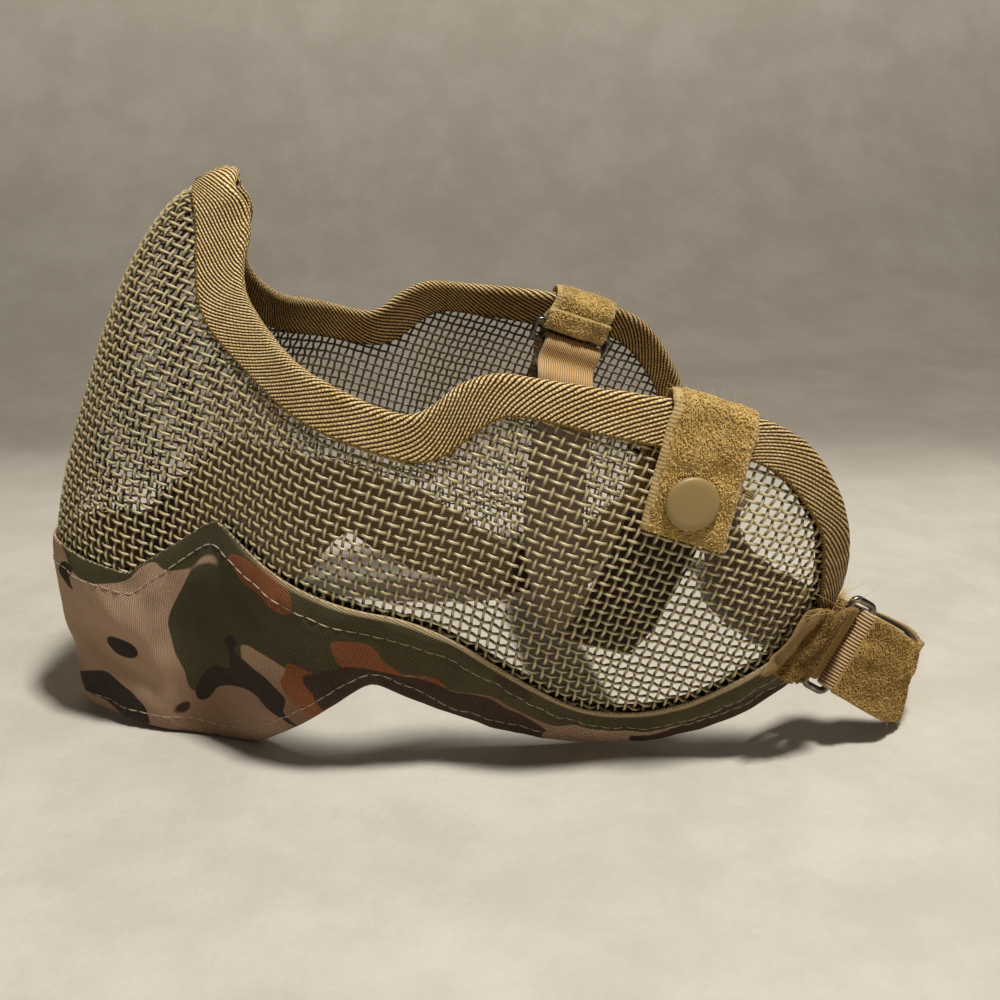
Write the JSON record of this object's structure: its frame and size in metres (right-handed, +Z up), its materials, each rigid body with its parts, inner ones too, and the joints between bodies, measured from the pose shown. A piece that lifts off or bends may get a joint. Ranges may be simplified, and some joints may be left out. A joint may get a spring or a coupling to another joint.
{
  "type": "half-face mesh mask",
  "caption": "Half-face mask of formed wire mesh with taped upper edge, camouflage cloth along chin and jaw, sewn tabs, rings and elastic straps, resting on its lower edge.",
  "frame": {"origin": "under the middle of the whole mask's box, on the surface it stands on", "axes": "+Z up, -Y towards the nose, +Y towards the ears and straps, +X towards the wearer's left side"},
  "size_m": [0.1596, 0.2252, 0.141],
  "materials": {
    "wire": "tan-olive painted steel wire, semi-gloss, worn lighter on the crowns",
    "tape": "golden-tan twill tape with diagonal ribs, matt",
    "cloth": "woodland camouflage print on ripstop-like cotton, matt",
    "pile": "golden-tan fuzzy loop pile, matt",
    "snap": "smooth tan cap, satin",
    "steel": "dark steel wire, glossy",
    "elastic": "ribbed brown-tan elastic webbing, matt"
  },
  "bodies": {
    "root": {"mesh_shell": "wire", "edge_tape": "tape", "chin_cloth": "cloth", "upper_tab_left": "pile", "upper_tab_right": "pile", "upper_ring_left": "steel", "upper_ring_right": "steel", "lower_tab_left": "pile", "lower_tab_right": "pile", "lower_ring_left": "steel", "lower_ring_right": "steel", "upper_strap": "elastic", "lower_strap": "elastic", "strap_patch": "pile", "snap_cap_left": "snap", "snap_cap_right": "snap", "snap_base_left": "snap", "snap_base_right": "snap"}
  },
  "joints": []
}
